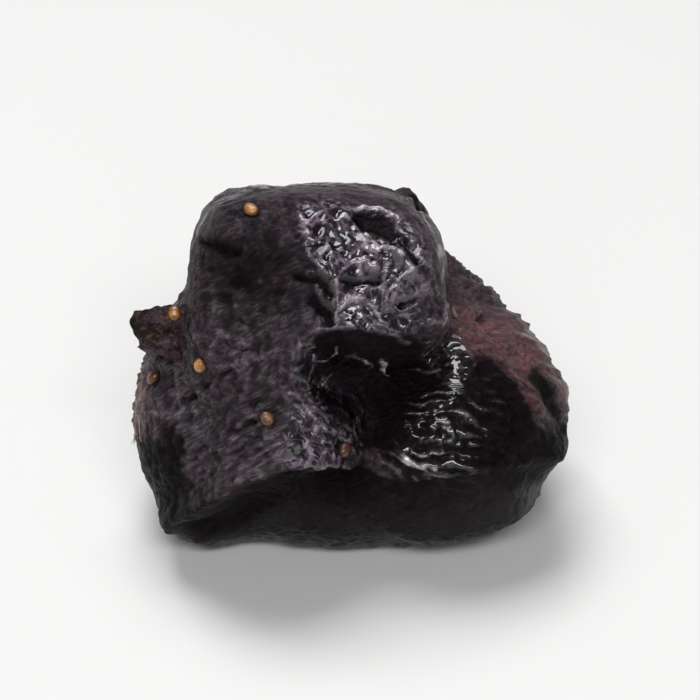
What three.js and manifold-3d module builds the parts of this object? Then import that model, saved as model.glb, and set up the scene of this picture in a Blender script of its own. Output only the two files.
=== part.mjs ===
// A soft-dried fig, shrivelled and resting on its belly. A blunt knob stands above, the skin slopes
// down from it in an apron on the front left, a swollen lobe fills the right, and the dry stub of the
// stalk sticks out on the left. The eye, the small mouth of the fig, is on the far right.
// Millimetres, +Z up. The origin is on the surface under the middle of the fig, and -Y is its front.

import * as THREE from "three";
import { mergeVertices } from "three/addons/utils/BufferGeometryUtils.js";
import Module from "manifold-3d";

const wasm = await Module();
wasm.setup();

// ---- Driving dimensions ----

const CORE = new THREE.Vector3(-1.5, 0.5, 17); // every point of the skin is in sight of this one
const MIDDLE = new THREE.Vector3(-0.8, 0.5, 0); // the point of the floor that becomes the origin
const NET_CELLS = 24; // cells along each edge of the cube that the skin's net is blown up from
const SEAT_GAP = 0.25; // clearance round the stalk and the seeds where they sit in the flesh

// The masses that the flesh gathered into as it dried. Each is a superellipsoid: its centre, its
// radii, how square it is (2 is round) and its turn in degrees about Z, then X, then Y.
const LOBES = {
  belly: { centre: [1.2, 1.5, 10.2], radii: [18.9, 15.5, 11.7], power: 2.3, turn: [0, 0, 0] },
  heel: { centre: [-9.5, -0.5, 8.6], radii: [10, 10.5, 7.8], power: 2.2, turn: [0, 0, 0] },
  knob: { centre: [-4.6, -0.2, 28], radii: [14.2, 11.5, 11.8], power: 3.3, turn: [0, -20, 3] },
  apron: { centre: [-10.5, -5, 17.5], radii: [12.5, 13, 8.5], power: 2.3, turn: [-12, 24, -24] },
  flank: { centre: [-17.4, -0.5, 14.5], radii: [6.5, 8, 10], power: 2.6, turn: [0, 0, 8] },
  corner: { centre: [-16.2, -6, 7.6], radii: [5.6, 6.5, 7.5], power: 2.2, turn: [0, 0, 0] },
  lobe: { centre: [10.5, -1.5, 13.2], radii: [12.5, 14, 11.2], power: 2.2, turn: [0, 10, 20] },
  back: { centre: [-2.5, 8.5, 16.8], radii: [14.8, 11, 13.8], power: 2.2, turn: [0, 0, 8] },
  saddle: { centre: [7, 6.5, 20.5], radii: [7, 7, 5.5], power: 2, turn: [0, 0, 0] },
};
const BLEND = 1.8; // how softly one lobe runs into the next
const TIGHTEN = 0.8; // takes back what the soft join adds to the lobes

// The folds of the front are drawn as strokes on a board that leans back by LEAN: each point is
// [across, up]. A stroke pushes the skin out (or in, where push is negative) along its path, and
// fades over its width; a higher edge gives it a flatter top and a steeper side.
const LEAN = THREE.MathUtils.degToRad(36);
const STROKES = {
  underLip: { path: [[-3.2, 14.2], [0, 12.8], [5.5, 13.8]], width: 3.5, push: -3.9, edge: 2.6 },
  lip: {
    path: [[-4.8, 18.6], [-2, 18], [1, 18.2], [4, 17], [6.6, 16.8], [8.6, 19.5]],
    width: 1.6,
    push: 1.2,
    edge: 2,
  },
  slope: { path: [[-13.5, 19.5], [-11, 14.5]], width: 3.6, push: 0.9, edge: 2 },
  knobHollow: { path: [[-14, 24.5], [-10.5, 24.6], [-8.5, 26.5]], width: 3, push: -1.5, edge: 2 },
  knobRim: {
    path: [[-14, 30.6], [-8, 32.4], [0, 32.8], [4, 31.8], [7, 28], [8.8, 23], [8.8, 19]],
    width: 1.5,
    push: 0.8,
    edge: 2,
  },
  knobFace: { path: [[1, 27.5], [3, 23]], width: 3.8, push: -0.9, edge: 3 },
  ear: { path: [[5.4, 34.8], [6.4, 33.4]], width: 1, push: 2, edge: 2 },
  knobCrease: { path: [[10.4, 25], [10.6, 21], [9.6, 17.5], [8.2, 14.5]], width: 1.3, push: -2, edge: 1.6 },
  flapGroove: { path: [[-16.6, 9], [-17.4, 5.5], [-18.2, 2]], width: 2.2, push: -1.2, edge: 2 },
  ridge: {
    path: [[-20, -1], [-15, 1.5], [-11.5, 4], [-8, 5.5], [-4, 6], [-1, 5.4]],
    width: 1.5,
    push: 1.3,
    edge: 2,
  },
  underRidge: {
    path: [[-13, -1], [-10, 0.2], [-4, 2], [4, 1.2], [12, 0.8], [20, 2.5]],
    width: 2.5,
    push: -1.7,
    edge: 2,
  },
  lowRidge: { path: [[3.3, 7], [8.2, 4.6], [14, 4.6], [20, 5.8]], width: 1.3, push: 0.8, edge: 2 },
  middleFold: { path: [[2.4, 9.5], [1.2, 4.5]], width: 1.5, push: -1.5, edge: 1.8 },
  shoulderFold: { path: [[12, 24.6], [15.2, 21.8], [15, 19]], width: 1, push: -1.2, edge: 1.8 },
  saddleDip: { path: [[11, 25], [13.5, 22.8], [15, 21.2]], width: 1.6, push: -1.3, edge: 2 },
};

// The pleats of the back and underside run from the stalk to the eye.
const STALK_POLE = new THREE.Vector3(-20, -2, 22);
const EYE_POLE = new THREE.Vector3(19, 13, 13);
// valley rounds off the low lines, mean is the wave's average, so that pleats add no volume, and on
// the front only the share frontShare of them is left.
const PLEATS = { height: 1.1, waves: 7, valley: 0.3, mean: 0.7, frontShare: 0.08 };
const EYE = { pit: 1.8, pitRadius: 2.2, rim: 0.7, rimRadius: 3.6, rimWidth: 1.3 };

// The stub of the stalk: from its root inside the flesh to its broken end. Its profile is a list of
// [share of the half size, share of the length], and its section is a rounded square (squareness 2
// would be round) with shallow ribs along it.
const STUB = {
  root: new THREE.Vector3(-15.4, -3.6, 26.2),
  tip: new THREE.Vector3(-23.8, -4.8, 26.4),
  halfHeight: 2.9,
  halfDepth: 2.5,
  profile: [[0.8, 0.02], [0.92, 0.25], [0.9, 0.5], [0.96, 0.75], [1.04, 0.93], [0.8, 1]],
  squareness: 4,
  sides: 28,
  ribs: 7,
  ribHeight: 0.05,
  dish: 0.7, // how deep the broken end is sunk
  dishRadius: 0.5,
};

// Ripe seeds that cling to the skin. A seed's place is the direction from the core in which it
// lies: turn is from the front (-Y) towards +X, rise is up from level, spin turns it on the skin.
const SEED = { length: 1.75, breadth: 1.5, thickness: 1.1, sunk: 0.12 };
const SEED_PLACES = {
  seed_1: { turn: -72.8, rise: 67.2, spin: 20 },
  seed_2: { turn: -55.4, rise: 26.3, spin: 95 },
  seed_4: { turn: -27.8, rise: 18.9, spin: 130 },
  seed_5: { turn: 1.1, rise: 5.9, spin: 35 },
  seed_6: { turn: -74.7, rise: 10.9, spin: 80 },
};
// One seed clings to the stub: its distance from the stub's root, its angle round the stub from the
// top towards the front, its spin, and the radius that the stub's profile has there.
const STUB_SEED = { name: "seed_3", along: 4, around: 54, spin: 90, radius: 0.92 };

// ---- The form of the skin ----

const degrees = THREE.MathUtils.degToRad;
const smoothstep = THREE.MathUtils.smoothstep;
const FACING = new THREE.Vector3(0, -Math.cos(LEAN), Math.sin(LEAN)); // straight out of the board

for (const lobe of Object.values(LOBES)) {
  const [aboutZ, aboutX, aboutY] = lobe.turn.map(degrees);
  const turned = new THREE.Euler(aboutX, aboutY, aboutZ, "ZXY");
  lobe.unturn = new THREE.Quaternion().setFromEuler(turned).invert();
  lobe.middle = new THREE.Vector3(...lobe.centre);
}

/** How far a point is outside one lobe, roughly in mm; below zero inside it. */
function lobeGap(point, lobe) {
  const local = point.clone().sub(lobe.middle).applyQuaternion(lobe.unturn);
  const [rx, ry, rz] = lobe.radii;
  const sum =
    Math.abs(local.x / rx) ** lobe.power +
    Math.abs(local.y / ry) ** lobe.power +
    Math.abs(local.z / rz) ** lobe.power;
  return local.length() * (1 - sum ** (-1 / lobe.power));
}

/** How far a point is outside all the lobes, softly joined; below zero inside the flesh. */
function fleshGap(point) {
  let sum = 0;
  for (const lobe of Object.values(LOBES)) {
    sum += Math.exp(-lobeGap(point, lobe) / BLEND);
  }
  return TIGHTEN - BLEND * Math.log(sum);
}

/** How far the flesh reaches from the core along a direction: a march inward, then halving. */
function fleshReach(direction) {
  const farthest = 40;
  const step = 0.8;
  const halvings = 14;
  const at = (distance) => CORE.clone().addScaledVector(direction, distance);
  let outside = farthest;
  while (fleshGap(at(outside - step)) > 0) {
    outside -= step;
  }
  let inside = outside - step;
  for (let i = 0; i < halvings; i++) {
    const middle = (inside + outside) / 2;
    if (fleshGap(at(middle)) < 0) {
      inside = middle;
    } else {
      outside = middle;
    }
  }
  return (inside + outside) / 2;
}

/** The distance on the board from a point to a stroke's path. */
function pathDistance(point, path) {
  let nearest = Infinity;
  for (let i = 1; i < path.length; i++) {
    const start = new THREE.Vector2(...path[i - 1]);
    const along = new THREE.Vector2(...path[i]).sub(start);
    const offset = point.clone().sub(start);
    const share = THREE.MathUtils.clamp(offset.dot(along) / along.lengthSq(), 0, 1);
    nearest = Math.min(nearest, offset.addScaledVector(along, -share).length());
  }
  return nearest;
}

/** What the strokes add to the skin at a point. */
function strokePush(point) {
  const onBoard = new THREE.Vector2(point.x, point.z * Math.cos(LEAN) + point.y * Math.sin(LEAN));
  let push = 0;
  for (const { path, width, push: amount, edge } of Object.values(STROKES)) {
    push += amount * Math.exp(-((pathDistance(onBoard, path) / width) ** edge));
  }
  return push;
}

const poleAxis = EYE_POLE.clone().sub(STALK_POLE).normalize();
const poleSide = new THREE.Vector3(0, 0, 1).cross(poleAxis).normalize();
const poleTop = poleAxis.clone().cross(poleSide);
const poleMiddle = STALK_POLE.clone().add(EYE_POLE).divideScalar(2);

/** Rounded pleats between sharp valleys: |sine| waves round the stalk-to-eye axis, pressed flat below. */
function pleatPush(point) {
  const along = point.clone().sub(STALK_POLE).dot(poleAxis) / STALK_POLE.distanceTo(EYE_POLE);
  const offset = point.clone().sub(poleMiddle);
  const around = Math.atan2(offset.dot(poleSide), offset.dot(poleTop));
  const wave =
    PLEATS.waves * around +
    1.1 * Math.sin(2 * around + 1) +
    0.9 * Math.sin(3 * Math.PI * along + 2 * around) +
    0.5 * Math.sin(5 * around + 7 * along);
  const ripple = Math.hypot(Math.sin(wave), PLEATS.valley) - PLEATS.mean;
  const ends = smoothstep(along, -0.15, 0.25) * (1 - smoothstep(along, 0.75, 1.12));
  const pressed = smoothstep(point.z, 0.5, 6);
  return PLEATS.height * ripple * ends * pressed;
}

const eyeDirection = EYE_POLE.clone().sub(CORE).normalize();
const eyePlace = CORE.clone().addScaledVector(eyeDirection, fleshReach(eyeDirection));

/** The eye: a pit with a swollen rim round it. */
function eyePush(point) {
  const radius = point.distanceTo(eyePlace);
  const pit = EYE.pit * Math.exp(-((radius / EYE.pitRadius) ** 2));
  const rim = EYE.rim * Math.exp(-(((radius - EYE.rimRadius) / EYE.rimWidth) ** 2));
  return rim - pit;
}

/** The point of the skin in a direction from the core. Strokes shape the front, pleats the back. */
function skinPoint(direction) {
  const reach = fleshReach(direction);
  const flesh = CORE.clone().addScaledVector(direction, reach);
  const facing = direction.dot(FACING);
  const front = smoothstep(facing, -0.25, 0.2);
  const back = 1 - (1 - PLEATS.frontShare) * smoothstep(facing, 0.05, 0.55);
  const push = strokePush(flesh) * front + pleatPush(flesh) * back + eyePush(flesh);
  return flesh.addScaledVector(direction, push);
}

// ---- Solids ----

/** A closed geometry as a solid that can be cut, its shared vertices merged. */
function toSolid(geometry) {
  const bare = geometry.clone();
  bare.deleteAttribute("normal");
  bare.deleteAttribute("uv");
  const merged = mergeVertices(bare, 1e-4);
  const mesh = new wasm.Mesh({
    numProp: 3,
    vertProperties: new Float32Array(merged.attributes.position.array),
    triVerts: new Uint32Array(merged.index.array),
  });
  return new wasm.Manifold(mesh);
}

/** A solid as a geometry with shading normals. */
function toGeometry(solid) {
  const { vertProperties, triVerts } = solid.getMesh();
  const geometry = new THREE.BufferGeometry();
  geometry.setAttribute("position", new THREE.BufferAttribute(vertProperties, 3));
  geometry.setIndex(new THREE.BufferAttribute(triVerts, 1));
  geometry.computeVertexNormals();
  return geometry;
}

/** Moves every vertex of a geometry to where shape(vertex) says. */
function reshape(geometry, shape) {
  const position = geometry.attributes.position;
  const vertex = new THREE.Vector3();
  for (let i = 0; i < position.count; i++) {
    vertex.fromBufferAttribute(position, i);
    const moved = shape(vertex);
    position.setXYZ(i, moved.x, moved.y, moved.z);
  }
  return geometry;
}

/** The whole flesh: a cube's net blown up to the skin, its cells evened out by the tangent. */
function fleshGeometry() {
  const net = new THREE.BoxGeometry(2, 2, 2, NET_CELLS, NET_CELLS, NET_CELLS);
  const evened = (value) => Math.tan((value * Math.PI) / 4);
  return reshape(net, (vertex) => {
    const direction = new THREE.Vector3(evened(vertex.x), evened(vertex.y), evened(vertex.z));
    return skinPoint(direction.normalize());
  });
}

/** Everything below the surface that the fig rests on; cutting it off leaves the flat foot. */
function groundGeometry() {
  const size = 100;
  return new THREE.BoxGeometry(size, size, size).translate(0, 0, -size / 2);
}

/** Where the stub stands: +Y runs from root to tip, +X lies up the board and +Z faces the front. */
function placeOfStub() {
  const along = STUB.tip.clone().sub(STUB.root).normalize();
  const up = new THREE.Vector3(0, Math.sin(LEAN), Math.cos(LEAN));
  const depth = up.clone().cross(along).normalize();
  up.crossVectors(along, depth);
  return new THREE.Matrix4().makeBasis(up, along, depth).setPosition(STUB.root);
}

const stubPlace = placeOfStub();

/** Turns a point of a round lathe about +Y into one of the stub's ribbed, squarish section. */
function stubPoint(vertex, grow) {
  const around = Math.atan2(vertex.z, vertex.x);
  const power = STUB.squareness;
  const flats = Math.abs(Math.cos(around)) ** power + Math.abs(Math.sin(around)) ** power;
  const rib = 1 + STUB.ribHeight * Math.cos(STUB.ribs * around + 0.9 * Math.sin(2 * around));
  const swell = rib * flats ** (-1 / power);
  return new THREE.Vector3(
    vertex.x * swell * (STUB.halfHeight + grow),
    vertex.y,
    vertex.z * swell * (STUB.halfDepth + grow),
  );
}

/** The stub where it stands, flared at its dished broken end; grow leaves room round it. */
function stubGeometry(grow) {
  const length = STUB.root.distanceTo(STUB.tip) + grow;
  const profile = STUB.profile.map(([radius, share]) => new THREE.Vector2(radius, length * share));
  profile.unshift(new THREE.Vector2(0, -grow), new THREE.Vector2(STUB.profile[0][0], -grow));
  profile.push(new THREE.Vector2(STUB.dishRadius, length - STUB.dish));
  profile.push(new THREE.Vector2(0, length - STUB.dish));
  const lathe = new THREE.LatheGeometry(profile, STUB.sides);
  return reshape(lathe, (vertex) => stubPoint(vertex, grow)).applyMatrix4(stubPlace);
}

/** A fig seed lying along X: a flattened egg, pointed at its +X end. */
function seedGeometry(grow) {
  const half = new THREE.Vector3(SEED.length, SEED.breadth, SEED.thickness).divideScalar(2).addScalar(grow);
  return reshape(new THREE.SphereGeometry(1, 12, 8), (vertex) => {
    const taper = 1 - 0.28 * vertex.x;
    return new THREE.Vector3(vertex.x, vertex.y * taper, vertex.z * taper).multiply(half);
  });
}

// ---- Pieces ----

const skinFinish = new THREE.MeshStandardMaterial({ color: 0x2c2228, roughness: 0.35, metalness: 0 });
const stalkFinish = new THREE.MeshStandardMaterial({ color: 0x4a342c, roughness: 0.75, metalness: 0 });
const seedFinish = new THREE.MeshStandardMaterial({ color: 0xa5793f, roughness: 0.5, metalness: 0 });

/** A named piece with its finish. */
function piece(name, geometry, finish) {
  const mesh = new THREE.Mesh(geometry, finish);
  mesh.name = name;
  return mesh;
}

/** A seed grown for clearance, where the seed lies: what is cut out for it. */
function seedSeat(seed) {
  seed.updateMatrix();
  return toSolid(seedGeometry(SEAT_GAP).applyMatrix4(seed.matrix));
}

/** A unit direction from a turn and a rise in degrees. */
function directionOf(turn, rise) {
  const level = Math.cos(degrees(rise));
  return new THREE.Vector3(
    Math.sin(degrees(turn)) * level,
    -Math.cos(degrees(turn)) * level,
    Math.sin(degrees(rise)),
  );
}

/** A point of the stub's side: along in mm from its root, around in degrees from top to front. */
function stubSide(along, around) {
  const onLathe = new THREE.Vector3(Math.cos(degrees(around)), 0, Math.sin(degrees(around)));
  onLathe.multiplyScalar(STUB_SEED.radius).setY(along);
  return stubPoint(onLathe, 0).applyMatrix4(stubPlace);
}

/** A seed lying flat on a surface, which gives a point for every two numbers. */
function clingingSeed(name, surface, first, second, spin) {
  const seed = piece(name, seedGeometry(0), seedFinish);
  const apart = 2;
  const here = surface(first, second);
  const right = surface(first + apart, second).sub(here);
  const above = surface(first, second + apart).sub(here);
  const out = right.clone().cross(above).normalize();
  right.addScaledVector(out, -right.dot(out)).normalize();
  const length = right.applyAxisAngle(out, degrees(spin));
  const breadth = out.clone().cross(length);
  seed.quaternion.setFromRotationMatrix(new THREE.Matrix4().makeBasis(length, breadth, out));
  seed.position.copy(here).addScaledVector(out, -SEED.sunk);
  return seed;
}

const skinAt = (turn, rise) => skinPoint(directionOf(turn, rise));
const skinSeeds = Object.entries(SEED_PLACES).map(([name, { turn, rise, spin }]) =>
  clingingSeed(name, skinAt, turn, rise, spin),
);
const stubSeed = clingingSeed(STUB_SEED.name, stubSide, STUB_SEED.along, STUB_SEED.around, STUB_SEED.spin);

const wood = toSolid(stubGeometry(0)).subtract(seedSeat(stubSeed));
const stub = piece("stem_stub", toGeometry(wood), stalkFinish);

let flesh = toSolid(fleshGeometry()).subtract(toSolid(groundGeometry()));
flesh = flesh.subtract(toSolid(stubGeometry(SEAT_GAP)));
for (const seed of [...skinSeeds, stubSeed]) {
  flesh = flesh.subtract(seedSeat(seed));
}
const fig = piece("fig", toGeometry(flesh), skinFinish);

const wholeFig = new THREE.Group();
wholeFig.add(fig, stub, ...skinSeeds, stubSeed);
wholeFig.position.copy(MIDDLE).negate();

export default wholeFig;
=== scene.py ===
# %% [markdown]
# # A soft-dried fig
#
# A fig that dries keeps its sugar and loses its water, so its skin ends up far too big for what is
# left inside. It sinks into a few heavy folds, and between them it creases like crushed foil, wet
# with syrup. This lesson builds one the way a sculptor would: the masses first, then the folds,
# then the creases, then the grain of the skin, and last the light on its wet places.
#
# The frame comes first. It holds the fig's plain solids at their true size and place. Every piece
# that is made here stands for one of them, and never moves them.

# %% Load the frame
import itertools
import math

import bpy
import numpy as np
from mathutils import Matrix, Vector


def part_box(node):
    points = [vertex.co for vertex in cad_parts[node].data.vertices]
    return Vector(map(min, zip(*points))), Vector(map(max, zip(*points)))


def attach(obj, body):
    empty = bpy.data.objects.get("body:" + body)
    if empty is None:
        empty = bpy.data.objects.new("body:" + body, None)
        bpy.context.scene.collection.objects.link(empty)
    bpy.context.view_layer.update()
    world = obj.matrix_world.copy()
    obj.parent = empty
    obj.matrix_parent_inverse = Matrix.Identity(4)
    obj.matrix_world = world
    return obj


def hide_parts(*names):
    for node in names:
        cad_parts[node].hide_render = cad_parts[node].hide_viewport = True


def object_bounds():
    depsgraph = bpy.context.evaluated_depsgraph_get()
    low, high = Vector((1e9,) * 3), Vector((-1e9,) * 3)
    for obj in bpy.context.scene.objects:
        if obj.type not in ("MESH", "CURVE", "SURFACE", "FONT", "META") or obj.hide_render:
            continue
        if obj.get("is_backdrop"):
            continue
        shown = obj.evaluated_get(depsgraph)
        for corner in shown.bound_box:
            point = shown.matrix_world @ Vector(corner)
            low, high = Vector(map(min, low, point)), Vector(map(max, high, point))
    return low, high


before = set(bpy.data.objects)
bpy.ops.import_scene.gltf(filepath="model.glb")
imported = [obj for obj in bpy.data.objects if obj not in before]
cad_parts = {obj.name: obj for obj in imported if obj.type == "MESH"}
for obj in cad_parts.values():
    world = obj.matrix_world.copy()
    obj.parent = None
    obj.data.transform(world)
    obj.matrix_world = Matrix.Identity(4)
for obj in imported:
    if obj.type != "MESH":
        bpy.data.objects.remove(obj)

BODY = "root"
MM = 0.001
CAD_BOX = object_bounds()
SEEDS = [f"seed_{number}" for number in range(1, 7)]
SEED_SPOTS = np.array([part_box(seed) for seed in SEEDS]).mean(1) / MM  # middle of each seed, mm
print("frame box, mm:", [tuple(round(value / MM, 1) for value in corner) for corner in CAD_BOX])

# %% [markdown]
# ## Small helpers
#
# Surfaces here are arrays of points worked out all at once. These few helpers turn such arrays into
# meshes. A piece that is closed like a pod is a stack of rings with a pole at each end, and its
# signed volume tells whether its faces point outwards.

# %% Vectors and soft steps
def unit(vectors):
    """Each vector divided by its length."""
    return vectors / np.linalg.norm(vectors, axis=-1, keepdims=True)


def soft_step(low, high, values):
    """0 below low, 1 above high, and the curve 3t^2 - 2t^3 between them."""
    share = np.clip((values - low) / (high - low), 0, 1)
    return share * share * (3 - 2 * share)


def bell(distance, width, edge=2):
    """1 at no distance, fading to 0: exp(-(distance / width)^edge)."""
    return np.exp(-(distance / width) ** edge)


def turned(yaw, pitch, roll):
    """The matrix that turns about Y by roll, then X by pitch, then Z by yaw, in degrees."""
    (cz, sz), (cx, sx), (cy, sy) = ((math.cos(math.radians(a)), math.sin(math.radians(a)))
                                    for a in (yaw, pitch, roll))
    about_z = np.array([[cz, -sz, 0], [sz, cz, 0], [0, 0, 1]])
    about_x = np.array([[1, 0, 0], [0, cx, -sx], [0, sx, cx]])
    about_y = np.array([[cy, 0, sy], [0, 1, 0], [-sy, 0, cy]])
    return about_z @ about_x @ about_y


# %% From points to a piece
def pods(rings):
    """Points and faces of closed pods, from an array of (pod, ring, place in the ring, xyz).

    Quads join neighbouring rings, and a fan of triangles joins each end ring to a pole at its
    middle. The points run pod by pod, ring by ring, with each pod's two poles after its rings."""
    count, rows, columns = rings.shape[:3]
    flat = rings.reshape(count, rows * columns, 3)
    poles = np.stack([rings[:, 0].mean(1), rings[:, -1].mean(1)], 1)
    points = np.concatenate([flat, poles], 1)
    index = np.arange(rows * columns).reshape(rows, columns)
    beside = np.roll(index, -1, axis=1)
    quads = np.stack([index[:-1], beside[:-1], beside[1:], index[1:]], -1).reshape(-1, 4)
    pole = rows * columns
    first = np.stack([np.full(columns, pole), beside[0], index[0]], -1)
    last = np.stack([np.full(columns, pole + 1), index[-1], beside[-1]], -1)
    start = np.arange(count)[:, None, None] * (pole + 2)
    quads = (quads + start).reshape(-1, 4)
    fans = (np.concatenate([first, last]) + start).reshape(-1, 3)
    points = points.reshape(-1, 3)
    a, b, c = (points[fans[:, k]] - points[quads[0, 0]] for k in range(3))
    p, q, r, t = (points[quads[:, k]] - points[quads[0, 0]] for k in range(4))
    volume = (np.cross(a, b) * c).sum() + (np.cross(p, q) * r).sum() + (np.cross(p, r) * t).sum()
    step = -1 if volume < 0 else 1
    return points, quads[:, ::step].tolist() + fans[:, ::step].tolist()


def make_piece(name, points, faces, material, slot, replaces=(), masks=None):
    """A smooth-shaded mesh in the frame, from points in mm; each mask becomes a point attribute."""
    mesh = bpy.data.meshes.new(name)
    mesh.from_pydata((np.asarray(points) * MM).tolist(), [], [tuple(face) for face in faces])
    for mask, values in (masks or {}).items():
        layer = mesh.attributes.new(mask, "FLOAT", "POINT")
        layer.data.foreach_set("value", np.asarray(values, np.float32))
    mesh.shade_smooth()
    mesh.materials.append(material)
    mesh.update()
    piece = bpy.data.objects.new(name, mesh)
    bpy.context.scene.collection.objects.link(piece)
    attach(piece, BODY)
    if replaces:
        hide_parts(*replaces)
    triangles = sum(len(face) - 2 for face in faces)
    print(f"{name}: {len(points)} points, {triangles} triangles")
    return piece


# %% [markdown]
# ## The masses
#
# The flesh gathered into a few lobes as it dried: a blunt knob above, an apron that slopes down the
# front left, a swollen lobe on the right, and a belly that it rests on. Each is a superellipsoid,
# and a soft union joins them with a fillet, as skin stretched over them would.
#
# From one point inside, the core, every part of the skin can be seen. So the whole fig is one
# function: for each direction from the core, how far away the skin is. It is found by walking in
# from outside, each step a share of the gap that is left.

# %% Lobes of flesh
CORE = np.array([-1.5, 0.5, 17.0])  # mm; the core, before the origin moves under the middle
MIDDLE = np.array([-0.8, 0.5, 0.0])  # the point of the floor that becomes the origin
LOBES = {  # centre mm, radii mm, power (2 is round), turn in degrees about Z, X and Y
    "belly": ((1.2, 1.5, 10.2), (18.9, 15.5, 11.7), 2.3, (0, 0, 0)),
    "heel": ((-9.5, -0.5, 8.6), (10.0, 10.5, 7.8), 2.2, (0, 0, 0)),
    "knob": ((-4.6, -0.2, 28.0), (14.2, 11.5, 11.8), 3.3, (0, -20, 3)),
    "apron": ((-10.5, -5.0, 17.5), (12.5, 13.0, 8.5), 2.3, (-12, 24, -24)),
    "flank": ((-17.4, -0.5, 14.5), (6.5, 8.0, 10.0), 2.6, (0, 0, 8)),
    "corner": ((-16.2, -6.0, 7.6), (5.6, 6.5, 7.5), 2.2, (0, 0, 0)),
    "lobe": ((10.5, -1.5, 13.2), (12.5, 14.0, 11.2), 2.2, (0, 10, 20)),
    "back": ((-2.5, 8.5, 16.8), (14.8, 11.0, 13.8), 2.2, (0, 0, 8)),
    "saddle": ((7.0, 6.5, 20.5), (7.0, 7.0, 5.5), 2.0, (0, 0, 0)),
}
BLEND = 1.8  # how softly one lobe runs into the next, mm
TIGHTEN = 0.8  # takes back what the soft join adds, mm
OUTSIDE = 40.0  # mm from the core, where the walk to the skin starts
STEP_SHARE = 0.6  # of the gap that is left, for each step of the walk
STEPS = 26


def lobe_gap(points, centre, radii, power, turn):
    """How far outside one lobe each point is: its distance from the centre times (1 - 1/k), where
    k is the sum of |x/radius|^power over the lobe's own axes, to the power 1/power."""
    local = (points - np.array(centre)) @ turned(*turn)
    k = (np.abs(local / np.array(radii)) ** power).sum(-1) ** (1 / power)
    return np.linalg.norm(local, axis=-1) * (1 - 1 / k)


def flesh_gap(points):
    """The soft union: minus BLEND times the logarithm of the summed exp(-gap / BLEND)."""
    total = sum(np.exp(-lobe_gap(points, *lobe) / BLEND) for lobe in LOBES.values())
    return TIGHTEN - BLEND * np.log(total)


def flesh_reach(directions):
    """The distance from the core to the skin: from OUTSIDE, steps of STEP_SHARE x gap inward."""
    reach = np.full(len(directions), OUTSIDE)
    for _ in range(STEPS):
        reach = reach - STEP_SHARE * flesh_gap(CORE + directions * reach[:, None])
    return reach


# %% [markdown]
# ## Folds
#
# The front's folds are drawn as strokes on a board that leans back, as a sculptor draws on the face
# of a block before cutting. A stroke pushes the skin out along its path, or in where its push is
# below zero, and fades with distance. It only marks the side that faces the board.
#
# The back and the underside get what any drying fig gets: long pleats that run from the stalk to
# the eye, rounded on top with narrow valleys between.

# %% Strokes on the board
LEAN = math.radians(36)
FACING = np.array([0, -math.cos(LEAN), math.sin(LEAN)])  # straight out of the board
BOARD_UP = np.array([0, math.sin(LEAN), math.cos(LEAN)])  # up along the board
STROKES = {  # path of (across, up) mm, width mm, push mm, edge (higher is steeper)
    "under_lip": ([(-3.2, 14.2), (0, 12.8), (5.5, 13.8)], 3.5, -3.9, 2.6),
    "lip": ([(-4.8, 18.6), (-2, 18), (1, 18.2), (4, 17), (6.6, 16.8), (8.6, 19.5)], 1.6, 1.2, 2),
    "slope": ([(-13.5, 19.5), (-11, 14.5)], 3.6, 0.9, 2),
    "knob_hollow": ([(-14, 24.5), (-10.5, 24.6), (-8.5, 26.5)], 3, -1.5, 2),
    "knob_rim": ([(-14, 30.6), (-8, 32.4), (0, 32.8), (4, 31.8), (7, 28), (8.8, 23), (8.8, 19)],
                 1.5, 0.8, 2),
    "knob_face": ([(1, 27.5), (3, 23)], 3.8, -0.9, 3),
    "ear": ([(5.4, 34.8), (6.4, 33.4)], 1, 2, 2),
    "knob_crease": ([(10.4, 25), (10.6, 21), (9.6, 17.5), (8.2, 14.5)], 1.3, -2, 1.6),
    "flap_groove": ([(-16.6, 9), (-17.4, 5.5), (-18.2, 2)], 2.2, -1.2, 2),
    "ridge": ([(-20, -1), (-15, 1.5), (-11.5, 4), (-8, 5.5), (-4, 6), (-1, 5.4)], 1.5, 1.3, 2),
    "under_ridge": ([(-13, -1), (-10, 0.2), (-4, 2), (4, 1.2), (12, 0.8), (20, 2.5)],
                    2.5, -1.7, 2),
    "low_ridge": ([(3.3, 7), (8.2, 4.6), (14, 4.6), (20, 5.8)], 1.3, 0.8, 2),
    "middle_fold": ([(2.4, 9.5), (1.2, 4.5)], 1.5, -1.5, 1.8),
    "shoulder_fold": ([(12, 24.6), (15.2, 21.8), (15, 19)], 1, -1.2, 1.8),
    "saddle_dip": ([(11, 25), (13.5, 22.8), (15, 21.2)], 1.6, -1.3, 2),
}


def on_board(points):
    """Each point's place on the board: across is x, and up is z cos(lean) + y sin(lean)."""
    return np.stack([points[:, 0], points @ BOARD_UP], -1)


def path_distance(places, path):
    """The distance from each place to the nearest straight stretch of a path."""
    path = np.array(path, float)
    nearest = np.full(len(places), np.inf)
    for start, end in zip(path[:-1], path[1:]):
        along = end - start
        share = np.clip((places - start) @ along / (along @ along), 0, 1)
        away = np.linalg.norm(places - start - share[:, None] * along, axis=1)
        nearest = np.minimum(nearest, away)
    return nearest


def stroke_push(places, strokes):
    """The sum over the strokes of push x bell(distance from the path, width, edge)."""
    return sum(push * bell(path_distance(places, path), width, edge)
               for path, width, push, edge in strokes.values())


print("strokes:", len(STROKES))

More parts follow.
